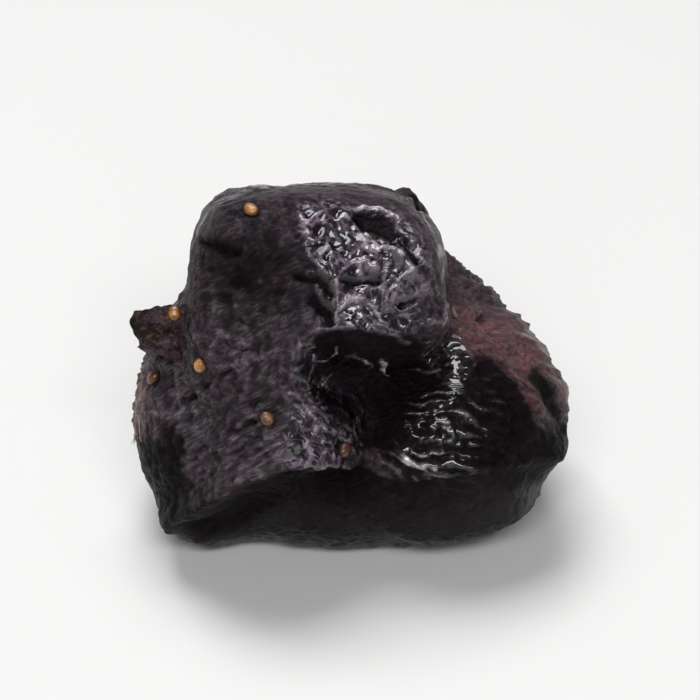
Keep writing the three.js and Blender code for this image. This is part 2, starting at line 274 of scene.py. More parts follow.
# %% Pleats and the eye
STALK_POLE = np.array([-20.0, -2.0, 22.0])
EYE_POLE = np.array([19.0, 13.0, 13.0])
POLE_AXIS = unit(EYE_POLE - STALK_POLE)
POLE_SIDE = unit(np.cross([0.0, 0.0, 1.0], POLE_AXIS))
POLE_TOP = np.cross(POLE_AXIS, POLE_SIDE)
EYE_DIRECTION = unit(EYE_POLE - CORE)
EYE_PLACE = CORE + EYE_DIRECTION * flesh_reach(EYE_DIRECTION[None])[0]
PLEATS, PLEAT_HEIGHT, PLEAT_ROUNDING = 7, 1.1, 0.3  # height in mm
EYE_PIT, EYE_PIT_WIDTH = 1.8, 2.2  # mm
EYE_RIM, EYE_RIM_RADIUS, EYE_RIM_WIDTH = 0.7, 3.6, 1.3  # mm


def pleat_wave(points):
    """The phase of the pleats, and the share of the way from stalk to eye.

    The phase is PLEATS times the angle round the stalk-to-eye axis, bent by slow sines."""
    along = (points - STALK_POLE) @ POLE_AXIS / np.linalg.norm(EYE_POLE - STALK_POLE)
    offset = points - (STALK_POLE + EYE_POLE) / 2
    around = np.arctan2(offset @ POLE_SIDE, offset @ POLE_TOP)
    phase = (PLEATS * around + 1.1 * np.sin(2 * around + 1)
             + 0.9 * np.sin(3 * np.pi * along + 2 * around)
             + 0.5 * np.sin(5 * around + 7 * along))
    return phase, along


def pleat_push(points):
    """PLEAT_HEIGHT x |sine| with its valleys rounded, faded at both poles and the foot."""
    phase, along = pleat_wave(points)
    ends = soft_step(-0.15, 0.25, along) * (1 - soft_step(0.75, 1.12, along))
    pressed = soft_step(0.5, 6, points[:, 2])
    return PLEAT_HEIGHT * (np.hypot(np.sin(phase), PLEAT_ROUNDING) - 0.7) * ends * pressed


def eye_push(points):
    """A bell-shaped pit, less a bell-shaped rim that stands round it at EYE_RIM_RADIUS."""
    radius = np.linalg.norm(points - EYE_PLACE, axis=1)
    rim = EYE_RIM * bell(radius - EYE_RIM_RADIUS, EYE_RIM_WIDTH)
    return rim - EYE_PIT * bell(radius, EYE_PIT_WIDTH)


print("eye at, mm:", EYE_PLACE.round(1))

# %% [markdown]
# ## Creases
#
# Between the folds the loose skin creases. Four kinds of relief do that here. *Hills* is smooth
# random relief. *Facets* are tilted plates that meet in sharp valleys, as on crushed foil. *Crests*
# are thin wandering ridges. *Wrinkles* are long parallel waves that noise bends, breaks and fades.
#
# They are added to the real surface, not faked with a bump map, so that they catch the light and
# show in the outline. Only what is finer than the net is left to the material.
#
# Each kind is one random field that fills space. Reading it at points shifted by a fixed number,
# such as points + 31, gives another part of the same field, so the layers don't look alike.

# %% Random relief
RANDOM = np.random.default_rng(41)
SHUFFLE = np.tile(RANDOM.permutation(256), 3)
SLOPES = unit(RANDOM.normal(size=(256, 3)))
SPOTS = RANDOM.uniform(0.1, 0.9, (256, 3))


def corner_code(cell, corner):
    """A number from 0 to 255 for each cell corner, which seems random but is always the same."""
    x, y, z = ((cell[:, axis] + corner[axis]) & 255 for axis in range(3))
    return SHUFFLE[SHUFFLE[SHUFFLE[x] + y] + z]


def hills(points, size):
    """Smooth hills about size mm apart, between -1 and 1.

    Each corner of a point's unit cell has a random slope. The heights that the eight slopes give
    at the point are mixed by the fade 6t^5 - 15t^4 + 10t^3 along each axis."""
    scaled = points / size
    cell = np.floor(scaled).astype(int)
    offset = scaled - cell
    fade = offset ** 3 * (offset * (offset * 6 - 15) + 10)
    total = np.zeros(len(points))
    for corner in itertools.product((0, 1), repeat=3):
        weight = np.prod(np.where(np.array(corner) == 1, fade, 1 - fade), axis=1)
        total += weight * (SLOPES[corner_code(cell, corner)] * (offset - corner)).sum(1)
    return total * 1.6


def facets(points, size):
    """Tilted plates about size mm wide, about 0 on average.

    Every unit cell holds one random spot with a random slope. A point takes the highest of
    slope . offset - 0.7 |offset|^2 over the spots near it, so plates meet in valleys."""
    scaled = points / size
    cell = np.floor(scaled).astype(int)
    best = np.full(len(points), -9.0)
    for corner in itertools.product((-1, 0, 1), repeat=3):
        code = corner_code(cell, corner)
        offset = scaled - cell - corner - SPOTS[code]
        best = np.maximum(best, (SLOPES[code] * offset).sum(1) - 0.7 * (offset ** 2).sum(1))
    return best - 0.15


def crests(points, size):
    """Thin ridges where broad hills cross zero: 1 - 3 |hills| in two layers, the second finer."""
    first = 1 - 3 * np.abs(hills(points, size))
    second = 1 - 3 * np.abs(hills(points + 31.0, size / 1.9))
    return 0.65 * first + 0.35 * second - 0.3


def drawn_out(points, heading, share):
    """Points squeezed to a share of their spread along a heading on the board, which draws any
    relief that is read at them out along it."""
    angle = math.radians(heading)
    along = np.array([math.cos(angle), 0, 0]) + math.sin(angle) * BOARD_UP
    return points + (share - 1) * (points @ along)[:, None] * along


def wrinkles(points, places, heading, spacing):
    """Long wrinkles that run along a heading on the board: 1 - root(sine^2 + 0.05), so crests are
    narrow but rounded, bent by hills, and broken where a second set of hills is low."""
    angle = math.radians(heading)
    across = places @ np.array([-math.sin(angle), math.cos(angle)])
    bend = 0.9 * hills(points + 5.0, 4.5) + 0.22 * hills(points + 9.0, 1.8)
    wave = 1.05 - np.sqrt(np.sin(np.pi * (across / spacing + bend)) ** 2 + 0.05)
    broken = soft_step(-0.15, 0.3, hills(drawn_out(points, heading, 0.42) + 21.0, 1.4))
    return (wave - 0.36) * (0.2 + 0.8 * broken)


def wandering(points, size, first, second):
    """A sideways shift for each point: two layers of hills, read at two shifts of the field."""
    return np.stack([hills(points + first, size), hills(points + second, size)], -1)


# %% [markdown]
# ## Zones of the skin
#
# A dried fig isn't wet all over. Syrup comes out where the skin is broken and creased, so the
# creased zones shine and the stretched ones are satin. Each zone is a few soft ovals on the board:
# crushed film like foil, with reflections painted on its plates, rough or smooth skin, wet skin, a
# dull patch in it, one with more painted highlights, the red of the right lobe, wrinkle crests with
# painted highlights, and places where shade is painted. Several ovals have long wrinkles of their
# own.
#
# What is too thin for an oval is a stroke: the folds of the film, raised and with highlights
# painted along them, the edges that sharpen the form, and the pockets, gullies and cracks, painted
# dark inside as shade.

# %% Soft ovals
OVAL_POWER = 2.6  # 2 is an ellipse, and more is squarer


def oval(places, centre, radii, turn=0.0, soft=0.3):
    """1 inside an oval on the board and 0 outside, changing over a soft edge round its rim."""
    angle = math.radians(turn)
    offset = places - np.array(centre)
    along = offset @ np.array([math.cos(angle), math.sin(angle)]) / radii[0]
    beside = offset @ np.array([-math.sin(angle), math.cos(angle)]) / radii[1]
    rim = (np.abs(along) ** OVAL_POWER + np.abs(beside) ** OVAL_POWER) ** (1 / OVAL_POWER)
    return 1 - soft_step(1 - soft, 1 + soft, rim)


def zone(places, ovals):
    """The greatest of several ovals at each place."""
    return np.max([oval(places, *one) for one in ovals], axis=0)


# Each oval: centre mm, half sizes mm, turn in degrees, and how soft its rim is.
FOIL = [
    ((1.2, 24.2), (5.8, 6.6), -6, 0.3), ((-2.2, 29.4), (3.8, 3.0), -20),
    ((-3.0, 8.4), (3.8, 4.8), -38), ((-4.6, 14.6), (1.6, 3.6), 20, 0.5),
    ((10.2, 15.4), (3.0, 2.4), -30, 0.5)]
ROUGH = [((-11.2, 23.8), (6.2, 5.2), 10, 0.5)]
SMOOTH = [
    ((-2.0, 33.4), (9.0, 1.7), 0), ((-15.6, 30.2), (1.4, 3.0), -34, 0.5),
    ((8.2, 27.0), (7.4, 1.5), -68), ((16.6, 18.6), (5.0, 2.6), -28)]
WET = [
    ((-4.0, 15.4), (2.6, 3.8), 20), ((9.6, 11.2), (7.4, 9.0), -16), ((6.0, 5.4), (4.4, 2.6), -30)]
GLINT_DASH_OVALS = [  # where highlights are painted on the crests of the wrinkles
    ((0.8, 15.8), (3.2, 1.8), -10, 0.5), ((9.6, 11.6), (3.8, 6.6), -10, 0.5),
    ((6.0, 5.2), (3.6, 1.8), -38), ((-4.6, 15.0), (1.8, 3.0), 20)]
# Where more highlights are painted on the folds of the film.
MORE_GLINT_OVALS = [((-3.6, 8.0), (3.6, 4.4), -38, 0.5)]
DULL = [((-7.4, 5.8), (2.6, 1.9), 30, 0.5)]
RED = [
    ((15.8, 17.8), (6.4, 3.2), -30), ((17.9, 12.9), (3.4, 1.3), -59),
    ((21.9, 12.8), (4.8, 1.0), -68)]
# Where shade is painted into the colour: under the lip, in the dip of the knob, on the right lobe
# and low down at both sides.
SHADE_OVALS = [
    ((1.4, 13.6), (5.2, 4.8), 6), ((-19.6, 6.4), (1.3, 3.0), 8, 0.4),
    ((14.6, 11.4), (4.0, 3.0), -59), ((-4.2, 15.6), (2.0, 2.4), 20, 0.4),
    ((-10.8, 24.8), (6.0, 4.8), 10, 0.9), ((2.8, 10.4), (3.0, 4.4), -8),
    ((-21.6, 3.0), (3.0, 5.0), 14, 0.5), ((17.0, 6.0), (5.6, 3.6), -8)]
# Where shade is painted on the front of the right lobe, between its bright dashes.
SHADED = [((8.6, 10.4), (6.6, 7.4), -10)]
TORN = [((-23.9, 10.8), (1.4, 4.8), -4, 0.5)]
RIDGE_LINE = [  # below this line on the board the belly turns under, and shade is painted on it
    (-21, 0.2), (-18.3, 1.0), (-15.7, 1.6), (-13.7, 2.3), (-11.6, 3.4), (-9, 4.5), (-1, 4.6),
    (2, 3.8), (6, 3.4), (9, 3.9), (14, 4.1), (18, 4.8), (22, 6.2)]

# %% Wrinkled ovals
LINED = {  # centre, half sizes, turn, then the wrinkles' heading, spacing mm and height mm
    "rim": ((7.7, 27.0), (7.5, 1.7), -68, -68, 0.8, 0.26),
    "ridge": ((-12.6, 5.2), (8.6, 4.6), 24, 31, 0.95, 0.26),
    "apron": ((-9.5, 13.5), (4.2, 5.0), -20, 78, 1.1, 0.16),
    "middle": ((-3.4, 8.4), (4.8, 5.6), -38, -42, 1.25, 0.42),
    "lobe": ((9.8, 11.0), (7.4, 8.6), -18, -9, 1.25, 0.50),
    "lobe_side": ((14.6, 10.0), (4.4, 6.4), -14, -20, 1.6, 0.35),
    "lobe_top": ((15.6, 17.4), (6.4, 3.4), -30, -40, 1.5, 0.18),
    "low": ((6.2, 5.6), (3.8, 2.2), -38, -38, 1.0, 0.36),
    "recess": ((0.8, 15.4), (3.6, 2.4), -8, 34, 0.95, 0.30),
    "recess_side": ((-4.6, 15.0), (2.2, 3.6), 20, 58, 1.0, 0.36),
    "top": ((-2.0, 34.0), (10.0, 1.4), 0, 0, 0.8, 0.18),
    "flank": ((-21.6, 9.0), (2.8, 7.4), 0, 84, 1.3, 0.34),
    "left_rim": ((-16.2, 28.6), (1.4, 4.0), -14, 74, 0.7, 0.16),
}
print("wrinkled ovals:", len(LINED))

# %% Thin strokes
FOLD_LINES = {  # thin folds of crumpled skin, raised, with highlights painted on, as STROKES
    "top_band": ([(-6.1, 30.7), (-5.0, 30.0), (-3.6, 31.0), (-2.2, 31.2), (-1.0, 30.2)],
                 0.32, 0.35, 2),
    "arc": ([(-0.8, 31.4), (0.5, 31.9), (2.3, 31.3), (3.6, 30.4), (4.9, 29.1)], 0.30, 0.36, 2),
    "hook": ([(5.5, 27.7), (6.9, 25.7)], 0.24, 0.35, 2),
    "pocket_edge": ([(0.6, 28.8), (1.7, 27.4), (3.9, 26.9), (5.3, 25.5)], 0.26, 0.35, 2),
    "upright": ([(-2.4, 26.6), (-2.2, 23.4), (-2.3, 20.0)], 0.24, 0.3, 2),
    "slant": ([(-5.5, 28.0), (-4.2, 25.8), (-2.5, 23.8)], 0.22, 0.3, 2),
    "spark": ([(0.8, 26.0), (1.4, 25.2), (2.0, 24.8)], 0.34, 0.4, 2),
    "cross": ([(2.6, 24.6), (4.2, 24.2), (5.6, 25.4)], 0.24, 0.3, 2),
    "low_band": ([(-2.4, 20.6), (-0.6, 22.0), (1.2, 21.4), (2.6, 19.8)], 0.28, 0.3, 2),
    "zigzag": ([(-5.4, 17.6), (-4.7, 16.2), (-3.6, 16.0), (-1.8, 17.5)], 0.24, 0.30, 2),
    "stitch": ([(-7.4, 15.2), (-6.2, 14.4), (-5.0, 13.4)], 0.22, 0.22, 2),
    "chip": ([(3.1, 15.5), (3.9, 14.6)], 0.30, 0.4, 2),
    "diagonal": ([(-7.0, 12.2), (-5.4, 10.8), (-3.6, 9.2)], 0.26, 0.30, 2),
    "upper_diagonal": ([(-5.6, 12.6), (-4.2, 11.4), (-3.0, 10.0)], 0.22, 0.26, 2),
    "low_spark": ([(3.9, 6.9), (5.6, 5.4), (7.2, 4.6), (8.1, 4.1)], 0.36, 0.36, 2),
    "lobe_rim": ([(17.6, 19.2), (20.0, 16.8), (21.6, 13.6), (22.4, 10.4)], 0.40, 0.2, 2),
    "cap_rim": ([(-16.8, 28.8), (-15.8, 31.2), (-13.6, 33.0), (-10.5, 34.2)], 0.55, 0.20, 2),
    "top_rim": ([(-10.0, 34.2), (-4.0, 34.8), (2.0, 34.9), (5.2, 34.5)], 0.40, 0.20, 2),
    "right_rim": ([(6.3, 31.8), (8.0, 28.0), (8.9, 23.5), (8.8, 19.5)], 0.40, 0.20, 2),
    "ember": ([(-1.0, 16.7), (0.4, 16.3), (1.9, 15.4)], 0.28, 0.28, 2),
    "hem": ([(-4.0, 19.0), (-1.4, 18.9), (1.4, 18.8), (3.4, 18.4), (5.2, 17.2)], 0.28, 0.22, 2),
}
SHAPING = {  # strokes that sharpen the form, as STROKES
    "ridge_edge": ([(-19.5, -1.2), (-15, 1.2), (-11.5, 3.6), (-7, 5.3), (-1, 5.2)], 1.1, 0.9, 2.4),
    "finger": ([(18.2, 15.4), (18.9, 10.8)], 0.9, 0.45, 2),
    "right_edge": ([(22.0, 14.0), (23.0, 9.5), (22.8, 6.5)], 2.2, 0.8, 2),
}
DETAIL = {  # fine strokes that push in, with shade painted inside; the cracks are dark too
    "under_lip_edge": ([(-2.8, 16.9), (1.0, 16.8), (4.4, 16.0)], 1.6, -1.9, 5),
    "under_ridge_edge": ([(-16.5, -2.2), (-11, 1.0), (-6.5, 3.0), (-0.5, 3.2)], 1.5, -1.3, 2.6),
    "pocket": ([(0.4, 30.8), (0.7, 29.9)], 0.75, -0.7, 2.6),
    "pocket_middle": ([(1.6, 30.1), (3.4, 28.8)], 0.95, -0.8, 2.6),
    "pocket_end": ([(4.9, 28.0), (6.3, 26.2)], 0.6, -0.6, 2.4),
    "gully_across": ([(-1.6, 24.0), (0.6, 23.8), (2.2, 23.9)], 0.36, -0.6, 2),
    "gully_left": ([(-6.2, 24.4), (-4.4, 24.1), (-3.0, 23.2)], 0.36, -0.5, 2),
    "gully_down": ([(-4.6, 22.3), (-3.4, 21.0), (-3.0, 19.6)], 0.6, -0.6, 2),
    "gully_right": ([(4.6, 21.9), (6.2, 22.0)], 0.36, -0.5, 2),
    "cap_crease": ([(-16.6, 28.5), (-14.6, 28.1), (-12.4, 27.4)], 0.5, -0.6, 2),
    "ear_gap": ([(5.6, 34.2), (6.1, 33.2), (6.7, 31.6)], 0.4, -1.0, 2),
    "lobe_streak_a": ([(13.4, 15.4), (15.6, 12.4), (17.2, 8.6)], 0.8, -0.8, 2),
    "lobe_streak_b": ([(18.8, 14.6), (20.4, 11.6), (21.8, 8.0)], 0.7, -0.7, 2),
    "crack_a": ([(-16.3, 13.3), (-15.4, 13.4), (-14.6, 13.9), (-13.4, 14.4)], 0.22, -0.4, 2),
    "crack_b": ([(-13.2, 8.2), (-12.4, 8.4), (-11.1, 9.3)], 0.26, -0.4, 2),
    "crack_c": ([(-12.3, 6.7), (-11.4, 7.4), (-10.2, 7.6)], 0.26, -0.4, 2),
    "pit_a": ([(-18.1, 11.7), (-17.6, 11.9)], 0.4, -0.5, 2),
    "pit_b": ([(-10.4, 11.2), (-10.1, 11.5)], 0.35, -0.45, 2),
}
print("thin strokes:", len(FOLD_LINES) + len(SHAPING) + len(DETAIL))

# %% [markdown]
# ## The whole skin
#
# The net of directions is a cube's six faces blown up to a sphere, because a globe of meridians
# would crowd its points at two poles. The tangent evens out the cells. Then every direction leans a
# little to the front, so that the side with the finest creases gets the most points.

# %% A net that is finer in front
NET_CELLS = 129  # along each edge of the cube, which keeps the skin under 200,000 triangles
FRONT_SHIFT = 0.36  # how much of FACING is added to each direction


def fig_net(cells, shift):
    """Directions over the whole sphere and the quads between them.

    On each cube face the two coordinates are tan(angle) for even angles from -45 to 45 degrees.
    Points that two faces share are merged, and quads that turn inwards are reversed."""
    even = np.tan(np.linspace(-1, 1, cells + 1) * np.pi / 4)
    u, v = np.meshgrid(even, even, indexing="ij")
    one = np.ones_like(u)
    sides = [(one, u, v), (-one, v, u), (v, one, u), (u, -one, v), (u, v, one), (v, u, -one)]
    points = np.concatenate([np.stack(side, -1).reshape(-1, 3) for side in sides])
    index = np.arange(len(points)).reshape(6, cells + 1, cells + 1)
    quads = np.stack([index[:, :-1, :-1], index[:, 1:, :-1],
                      index[:, 1:, 1:], index[:, :-1, 1:]], -1)
    keys = np.round(points * 1e6).astype(np.int64)
    _, first, merged = np.unique(keys, axis=0, return_index=True, return_inverse=True)
    quads = merged.reshape(-1)[quads.reshape(-1, 4)]
    directions = unit(points[first])
    a, b, c = (directions[quads[:, k]] for k in range(3))
    inward = (np.cross(b - a, c - a) * (a + b + c)).sum(-1) < 0
    quads[inward] = quads[inward][:, ::-1]
    return unit(directions + shift * FACING), quads


# %% The main form in each direction
def broad_skin(directions):
    """The skin's main form, as in the solid: flesh, strokes in front, pleats behind, and the eye.

    Gives the points, and how much each one faces the board (front) or turns away from it (back)."""
    flesh = CORE + directions * flesh_reach(directions)[:, None]
    facing = directions @ FACING
    front = soft_step(-0.25, 0.2, facing)
    back = 1 - 0.92 * soft_step(0.05, 0.55, facing)
    push = (stroke_push(on_board(flesh), STROKES) * front + pleat_push(flesh) * back
            + eye_push(flesh))
    return flesh + directions * push[:, None], front, back


EAR_DIRECTION = unit(np.array([7.7, 0, 0]) + 20.4 * BOARD_UP - 0.6 * FACING)
EAR_HEIGHT, EAR_WIDTH = 2.1, 2.6  # mm
EAR_PLACE = CORE + EAR_DIRECTION * flesh_reach(EAR_DIRECTION[None])[0]


def ear_push(points):
    """The corner of the knob's rim stands up in a small ear, a bell with a flat top."""
    return EAR_HEIGHT * bell(np.linalg.norm(points - EAR_PLACE, axis=1), EAR_WIDTH, 4)


# %% Seats, wrinkles and the belly's shade
SEAT_WIDTH, SEAT_DEPTH = 1.3, 0.3  # mm


def seat_of(points, spots):
    """1 close to a seed and 0 away from it, where the skin is pressed in and its relief stops."""
    distance = np.linalg.norm(points[:, None] - MIDDLE - spots, axis=2).min(1)
    return bell(distance, SEAT_WIDTH, 4)


def wrinkle_waves(points, straight, places, front):
    """The wrinkles of all the ovals in LINED, in mm. They run over the straight board places, and
    each oval's rim follows the wandering ones."""
    waves = np.zeros(len(points))
    for centre, radii, turn, heading, spacing, height in LINED.values():
        share = oval(places, centre, radii, turn, 0.4) * front
        waves += share * height * wrinkles(points, straight, heading, spacing)
    return waves


def turned_under(points, places, drift, front):
    """1 on the belly, low down or below the ridge line, and 0 above it; shade is painted there."""
    low = 1 - soft_step(6.0, 13.0, points[:, 2] - 4.0 * front)
    below = np.interp(places[:, 0], *np.transpose(RIDGE_LINE)) - places[:, 1] + 0.3 * drift
    return np.maximum(low, soft_step(-0.2, 0.6, below) * front)


# %% All the fine relief, and the masks
def creases(points, front, back):
    """The fine relief in mm, and the masks that the material reads.

    The masks are wet, where syrup stands; red, where the flesh shows through; deep, how dark the
    colour is painted, as shade in hollows, creases, pockets, round the seeds and on the belly, and
    as dark cracks; smooth, stretched skin; foil, crushed film; front, the side that faces the
    board;
    torn, skin dried to pale threads; lost, hollows that don't shine; pale, highlights painted on
    the film's folds, wrinkle crests and strokes; and high, 1 on crests and 0 in valleys, which
    paints light on crests and shade in valleys."""
    straight = on_board(points)
    wander = wandering(points, 3.5, 101.0, 131.0) + 0.4 * wandering(points, 1.2, 151.0, 171.0)
    places = straight + 0.7 * wander  # so that no oval or stroke has an even edge
    foil, wet, smooth, rough, shaded = (
        zone(places, ovals) * front for ovals in (FOIL, WET, SMOOTH, ROUGH, SHADED))
    wet = np.maximum(foil, wet)
    # dark: where the ovals of SHADE_OVALS paint shade into the colour.
    dark = zone(places + 0.7 * wandering(points, 0.9, 111.0, 121.0), SHADE_OVALS) * front
    calm = (1 - foil) * (1 - 0.65 * smooth)
    phase, _ = pleat_wave(points)
    between = 1 - np.abs(np.sin(2.6 * phase + 2.2 * hills(points + 3.0, 6.0))) - 0.36

    folds = np.maximum(crests(drawn_out(points, 58, 0.45), 1.5),
                       crests(drawn_out(points + 71.0, -42, 0.45), 1.5))
    plates = 0.50 * facets(points, 2.3) - 0.32 * facets(points + 17.0, 1.4) + 0.32 * folds
    bumps = (0.15 * hills(points + 50.0, 1.05) + 0.10 * hills(points + 54.0, 0.6)
             + 0.12 * crests(points + 70.0, 1.5)
             + rough * (0.26 * hills(points + 91.0, 1.5) + 0.24 * facets(points + 95.0, 1.6)))
    waves = wrinkle_waves(points, straight, places, front)
    fine = stroke_push(places, DETAIL) * front
    cracks = (bell(hills(points + 60.0, 3.2), 0.05)
              * soft_step(0.2, 0.4, hills(points + 90.0, 4.0)) * calm * front)
    lines = (stroke_push(places, FOLD_LINES) * front
             * soft_step(-0.7, 0.1, hills(points + 37.0, 1.8)))
    relief = (fine + stroke_push(places, SHAPING) * front + 0.30 * hills(points + 80.0, 7.0)
              + foil * plates + calm * (0.20 * hills(points, 2.7) + bumps) + waves
              - 0.16 * cracks + lines)
    relief += (back * (0.55 - 0.25 * front) * between
               * soft_step(-0.5, 0.3, hills(points + 13.0, 5.0)))
    seat = seat_of(points, SEED_SPOTS)
    relief = relief * (1 - seat) - SEAT_DEPTH * seat

    # under: the belly, where shade is painted into the colour and the gloss is taken off.
    under = turned_under(points, straight, wander[:, 1], front)
    # height also makes the high mask, which paints light on crests and shade in valleys, behind
    # too.
    height = (foil * plates / 0.45 + calm * bumps / 0.16 + waves / 0.2
              + 1.2 * back * (1 - front) * between)
    film = np.maximum(soft_step(0.3, 0.9, foil), wet * soft_step(-0.1, 0.6, height))
    film *= (1 - 0.9 * under) * (1 - 0.85 * zone(places, DULL))
    lost = np.clip(dark + np.clip(-fine / 0.6, 0, 1), 0, 1)
    # drawn: where the FOLD_LINES paint a highlight into the colour.
    drawn = soft_step(0.1, 0.35, lines)
    # dashes: pale highlights painted on the crests of the wrinkles.
    dashes = zone(places, GLINT_DASH_OVALS) * front * soft_step(0.3, 1.1, waves / 0.2) * (1 - 0.25 * lost)
    # Highlights painted on the crests of the film's folds.
    painted_glints = (0.4 + 0.35 * zone(places, MORE_GLINT_OVALS)) * foil * soft_step(0.42, 0.66, folds) * (1 - lost)
    # pale: all the highlights painted into the colour, on folds, wrinkle crests and strokes.
    pale = np.clip(painted_glints + 0.7 * dashes + drawn, 0, 1)
    # Shade painted into the colour: in the places of SHADE_OVALS, lighter on the tops of lumps in
    # the rough zone as painted light; on the right lobe; in the film's valleys; round the seeds; on
    # the belly; and inside the pushed-in strokes. The cracks are dark of their own.
    hollow_shade = (0.95 - 0.45 * rough * soft_step(0.9, 2.2, height)) * dark
    valleys = 0.8 * foil * (1 - soft_step(-0.15, 0.45, folds))
    painted_shade_and_cracks = (0.7 * seat + hollow_shade + 0.88 * shaded + 0.95 * under + np.clip(-fine / 0.5, 0, 1)
            + 0.7 * cracks + valleys)
    strands = soft_step(-0.1, 0.3, hills(points * [1.0, 1.0, 0.3] + 44.0, 0.7))
    return relief, {
        "wet": np.clip(np.maximum(film, drawn) + 0.25 * back, 0, 1),
        "red": zone(places, RED) * front,
        "painted_shade_and_cracks": np.clip(painted_shade_and_cracks, 0, 1) * (1 - 0.85 * pale),
        "smooth": smooth,
        "foil": foil,
        "front": np.clip(front, 0, 1),
        "torn": zone(straight, TORN) * front * strands,
        "lost": lost * (1 - pale),
        "pale": pale,
        "high": np.clip(0.5 + 0.5 * height, 0, 1),
    }


def fig_skin_surface(cells, shift):
    """Points in mm from the origin under the fig, quads and masks; what would go below z = 0 is
    pressed flat there, which makes the foot."""
    directions, quads = fig_net(cells, shift)
    points, front, back = broad_skin(directions)
    relief, masks = creases(points, front, back)
    points = points + directions * (relief + ear_push(points))[:, None]
    points[:, 2] = np.maximum(points[:, 2], 0)
    return points - MIDDLE, quads, masks


# %% [markdown]
# ## Finishes
#
# Two effects are shared by most of the finishes, so each is a group of nodes with named sockets:
# *mottle*, soft patches of more and less colour, and *grain*, the height of pores and fine lines.
# A third, *crushed*, is used twice on the skin, large and small, for the facets of its film.
# Patterns read the object's own coordinates in metres and are scaled to millimetres.

# %% Node helpers
def fill(tree, node, inputs):
    """Sets or links a node's inputs by name or number. A plain value goes on the socket itself."""
    for name, value in inputs.items():
        if isinstance(value, bpy.types.NodeSocket):
            tree.links.new(value, node.inputs[name])
        else:
            node.inputs[name].default_value = value


def add(tree, kind, inputs=None, **settings):
    """Adds a node, sets its properties, and fills its inputs."""
    node = tree.nodes.new(kind)
    for name, value in settings.items():
        setattr(node, name, value)
    fill(tree, node, inputs or {})
    return node


def group_of(name, inputs, *outputs):
    """A new node group: its tree, what it is given (Place and numbers), and its output node."""
    tree = bpy.data.node_groups.new(name, "ShaderNodeTree")
    tree.interface.new_socket("Place", in_out="INPUT", socket_type="NodeSocketVector")
    for socket, value in inputs.items():
        made = tree.interface.new_socket(socket, in_out="INPUT", socket_type="NodeSocketFloat")
        made.default_value = value
    for output in outputs:
        tree.interface.new_socket(output, in_out="OUTPUT", socket_type="NodeSocketFloat")
    return tree, tree.nodes.new("NodeGroupInput").outputs, tree.nodes.new("NodeGroupOutput")


def use(tree, group, **inputs):
    """Puts a node group into a material with its own values, and gives its one output."""
    return add(tree, "ShaderNodeGroup", inputs, node_tree=group).outputs[0]


def blend_colours(tree, factor, first, second):
    """A colour mix: first where factor is 0, second where it is 1."""
    return add(tree, "ShaderNodeMix", {0: factor, 6: first, 7: second}, data_type="RGBA").outputs[2]


def calculate(tree, operation, *values):
    """One step of arithmetic."""
    return add(tree, "ShaderNodeMath", dict(enumerate(values)), operation=operation).outputs[0]


def times(tree, first, second):
    """The product of two values."""
    return calculate(tree, "MULTIPLY", first, second)


def scaled(tree, value, factor, base):
    """Value x factor + base."""
    return calculate(tree, "MULTIPLY_ADD", value, factor, base)


def coat(tree, below, mask, amount, colour):
    """A colour laid over what is below, by amount where the mask is 1."""
    return blend_colours(tree, times(tree, mask, amount), below, colour)


def emboss(tree, shader, height, strength, distance):
    """Bumps the shader's normal by a height, whose unit is distance in mm."""
    bump = add(tree, "ShaderNodeBump",
               {"Strength": strength, "Distance": distance * MM, "Height": height})
    fill(tree, shader, {"Normal": bump.outputs[0]})


def millimetres(tree, stretch=(1, 1, 1), turn=(0, 0, 0)):
    """The object's own coordinates, in millimetres, perhaps turned and stretched."""
    place = tree.nodes.new("ShaderNodeTexCoord").outputs["Object"]
    scale = tuple(MM / part for part in stretch)
    return add(tree, "ShaderNodeMapping", {"Vector": place, "Scale": scale, "Rotation": turn},
               vector_type="TEXTURE").outputs[0]


def new_material(name):
    """A material, its tree and its Principled shader."""
    material = bpy.data.materials.new(name)
    material.use_nodes = True
    return material, material.node_tree, material.node_tree.nodes["Principled BSDF"]


def mask_of(tree, name):
    """A point attribute of the piece."""
    return add(tree, "ShaderNodeAttribute", attribute_name=name).outputs["Fac"]


# %% Mottle and grain
def mottle_group():
    """Mask: noise with patches of the given size, sharpened so that it runs from 0 to 1."""
    tree, given, result = group_of("mottle", {"Size": 4.0, "Contrast": 2.5}, "Mask")
    scale = calculate(tree, "DIVIDE", 1.0, given["Size"])
    noise = add(tree, "ShaderNodeTexNoise",
                {"Vector": given["Place"], "Scale": scale, "Detail": 5.0, "Roughness": 0.6})
    centred = calculate(tree, "SUBTRACT", noise.outputs["Fac"], 0.5)
    spread = times(tree, centred, given["Contrast"])
    clamped = add(tree, "ShaderNodeClamp", {"Value": calculate(tree, "ADD", spread, 0.5)})
    tree.links.new(clamped.outputs[0], result.inputs["Mask"])
    return tree


def grain_group():
    """Height: a fine noise, less Lines x the distance from the middle of each fine cell, which
    sinks lines between the cells."""
    tree, given, result = group_of("grain", {"Size": 0.5, "Lines": 0.5}, "Height")
    scale = calculate(tree, "DIVIDE", 1.0, given["Size"])
    cells = add(tree, "ShaderNodeTexVoronoi", {"Vector": given["Place"], "Scale": scale})
    lines = times(tree, cells.outputs["Distance"], given["Lines"])
    fine = times(tree, scale, 1.6)
    noise = add(tree, "ShaderNodeTexNoise",
                {"Vector": given["Place"], "Scale": fine, "Detail": 5.0, "Roughness": 0.7})
    total = calculate(tree, "SUBTRACT", noise.outputs["Fac"], lines)
    tree.links.new(total, result.inputs["Height"])
    return tree


